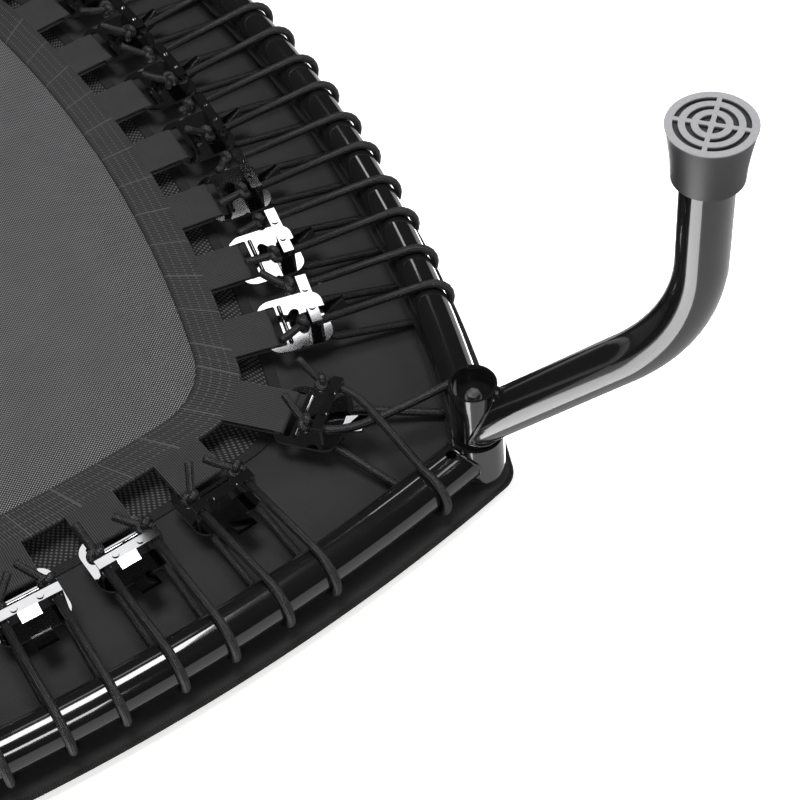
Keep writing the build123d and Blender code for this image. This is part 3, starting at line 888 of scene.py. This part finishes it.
def add_camera():
    eye = corner_point(0.3178, -0.9482, 1.2878)
    aim = corner_point(-0.07165, 0.01912, 0.01971)
    ahead = (aim - eye).normalized()
    right = ahead.cross(Vector((0, 0, -1))).normalized()
    up = right.cross(ahead)
    roll = math.radians(-6.03)
    side = right * math.cos(roll) + up * math.sin(roll)
    top = up * math.cos(roll) - right * math.sin(roll)
    data = bpy.data.cameras.new("camera")
    data.sensor_width = 36.0
    data.lens = 36.0 * 1948.0 / 800.0
    camera = bpy.data.objects.new("camera", data)
    camera.matrix_world = Matrix((side, top, -ahead)).transposed().to_4x4()
    camera.location = eye
    bpy.context.scene.collection.objects.link(camera)
    bpy.context.scene.camera = camera


def add_world():
    world = bpy.data.worlds.new("studio")
    world.use_nodes = True
    tree = world.node_tree
    tree.nodes.clear()
    path = tree.nodes.new("ShaderNodeLightPath")
    out = tree.nodes.new("ShaderNodeOutputWorld")
    last = None
    for strength, ray in ((0.10, None), (0.02, "Is Glossy Ray"), (1.0, "Is Camera Ray")):
        sky = tree.nodes.new("ShaderNodeBackground")
        sky.inputs["Strength"].default_value = strength
        sky.inputs["Color"].default_value = (1.0, 1.0, 1.0, 1.0)
        if ray is None:
            last = sky
            continue
        mix = tree.nodes.new("ShaderNodeMixShader")
        tree.links.new(path.outputs[ray], mix.inputs[0])
        tree.links.new(last.outputs[0], mix.inputs[1])
        tree.links.new(sky.outputs[0], mix.inputs[2])
        last = mix
    tree.links.new(last.outputs[0], out.inputs["Surface"])
    bpy.context.scene.world = world


def add_surface(name, height, up, mirrored, colour):
    """Plain surface that shows only from its own side, and lets light through.

    Mirrored is how strongly it shows in glossy pieces, from 0 to 1.
    """
    bpy.ops.object.select_all(action="DESELECT")
    bpy.ops.mesh.primitive_plane_add(size=30.0)
    plane = bpy.context.active_object
    plane.name = name
    if not up:
        plane.data.transform(Matrix.Rotation(math.pi, 4, "X"))
    plane.data.transform(Matrix.Translation((0, 0, height)))
    surface = Surface(name, colour, 0.6)
    surface.set("Emission Color", (*colour, 1.0))
    surface.set("Emission Strength", 0.6)
    tree = surface.tree
    path = tree.nodes.new("ShaderNodeLightPath")
    geometry = tree.nodes.new("ShaderNodeNewGeometry")
    clear = tree.nodes.new("ShaderNodeBsdfTransparent")
    mix = tree.nodes.new("ShaderNodeMixShader")
    camera = Value(surface, path.outputs["Is Camera Ray"])
    glossy = Value(surface, path.outputs["Is Glossy Ray"])
    front = 1.0 - Value(surface, geometry.outputs["Backfacing"])
    shown = (camera + glossy * mirrored).clamped() * front
    surface.feed(mix.inputs[0], shown)
    tree.links.new(clear.outputs[0], mix.inputs[1])
    tree.links.new(surface.shader.outputs[0], mix.inputs[2])
    tree.links.new(mix.outputs[0], tree.nodes["Material Output"].inputs["Surface"])
    plane.data.materials.append(surface.material)


def softboxes():
    """Places, aims, sizes and powers of the lamps."""
    middle = Vector((0, 0, FRAME_Z))
    corner = corner_point(0, 0, 0)
    return [
        (corner_point(-1.05, 1.893, 2.0), corner_point(-1.05, 1.893, 0.0), (0.40, 0.40), 2.0),
        (corner_point(-1.17, 0.845, 2.0), corner_point(-1.17, 0.845, 0.0), (0.40, 0.40), 0.9),
        (corner_point(1.5, 1.3, 1.7), corner, (0.9, 2.4), 22.0),
        (corner_point(0.9, -1.9, 1.9), corner, (1.6, 0.5), 22.0),
        (middle + Vector((0, 0, -3.4)), middle, (1.5, 1.5), 95.0),
        (Vector((1.8, -1.6, 3.2)), middle, (2.2, 2.2), 120.0),
        (Vector((-2.0, 1.4, 2.8)), middle, (2.2, 2.2), 90.0),
    ]


def add_softbox(name, place, aim, size, power):
    data = bpy.data.lights.new(name, "AREA")
    data.shape = "RECTANGLE"
    data.size, data.size_y = size
    data.energy = power
    lamp = bpy.data.objects.new(name, data)
    lamp.location = place
    lamp.rotation_euler = (aim - place).to_track_quat("-Z", "Y").to_euler()
    lamp.visible_camera = False
    bpy.context.scene.collection.objects.link(lamp)


class RebounderPanel(bpy.types.Panel):
    """Lists the rebounder's pieces"""
    bl_idname = "VIEW3D_PT_rebounder"
    bl_label = "Rebounder"
    bl_space_type = "VIEW_3D"
    bl_region_type = "UI"
    bl_category = "Rebounder"

    def draw(self, context):
        for group in (context.scene.cloth_sizes, context.scene.cord_sizes, context.scene.finishes):
            box = self.layout.box()
            for name in group.__annotations__:
                box.prop(group, name)
        for operator in OPERATORS:
            self.layout.operator(operator.bl_idname)


OPERATORS = (FinishNodes, MakeMat, MakeCords, MakeCover, MakeWelds, SetStage)
CLASSES = (ClothSizes, CordSizes, Finishes, *OPERATORS, RebounderPanel)


def register():
    for each in CLASSES:
        bpy.utils.register_class(each)
    bpy.types.Scene.cloth_sizes = PointerProperty(type=ClothSizes)
    bpy.types.Scene.cord_sizes = PointerProperty(type=CordSizes)
    bpy.types.Scene.finishes = PointerProperty(type=Finishes)


def unregister():
    del bpy.types.Scene.finishes
    del bpy.types.Scene.cord_sizes
    del bpy.types.Scene.cloth_sizes
    for each in reversed(CLASSES):
        bpy.utils.unregister_class(each)


def main():
    register()
    bpy.ops.rebounder.finish_nodes()
    bpy.ops.rebounder.mat()
    bpy.ops.rebounder.cords()
    bpy.ops.rebounder.cover()
    bpy.ops.rebounder.welds()
    bpy.ops.rebounder.stage()


if __name__ == "__main__":
    main()
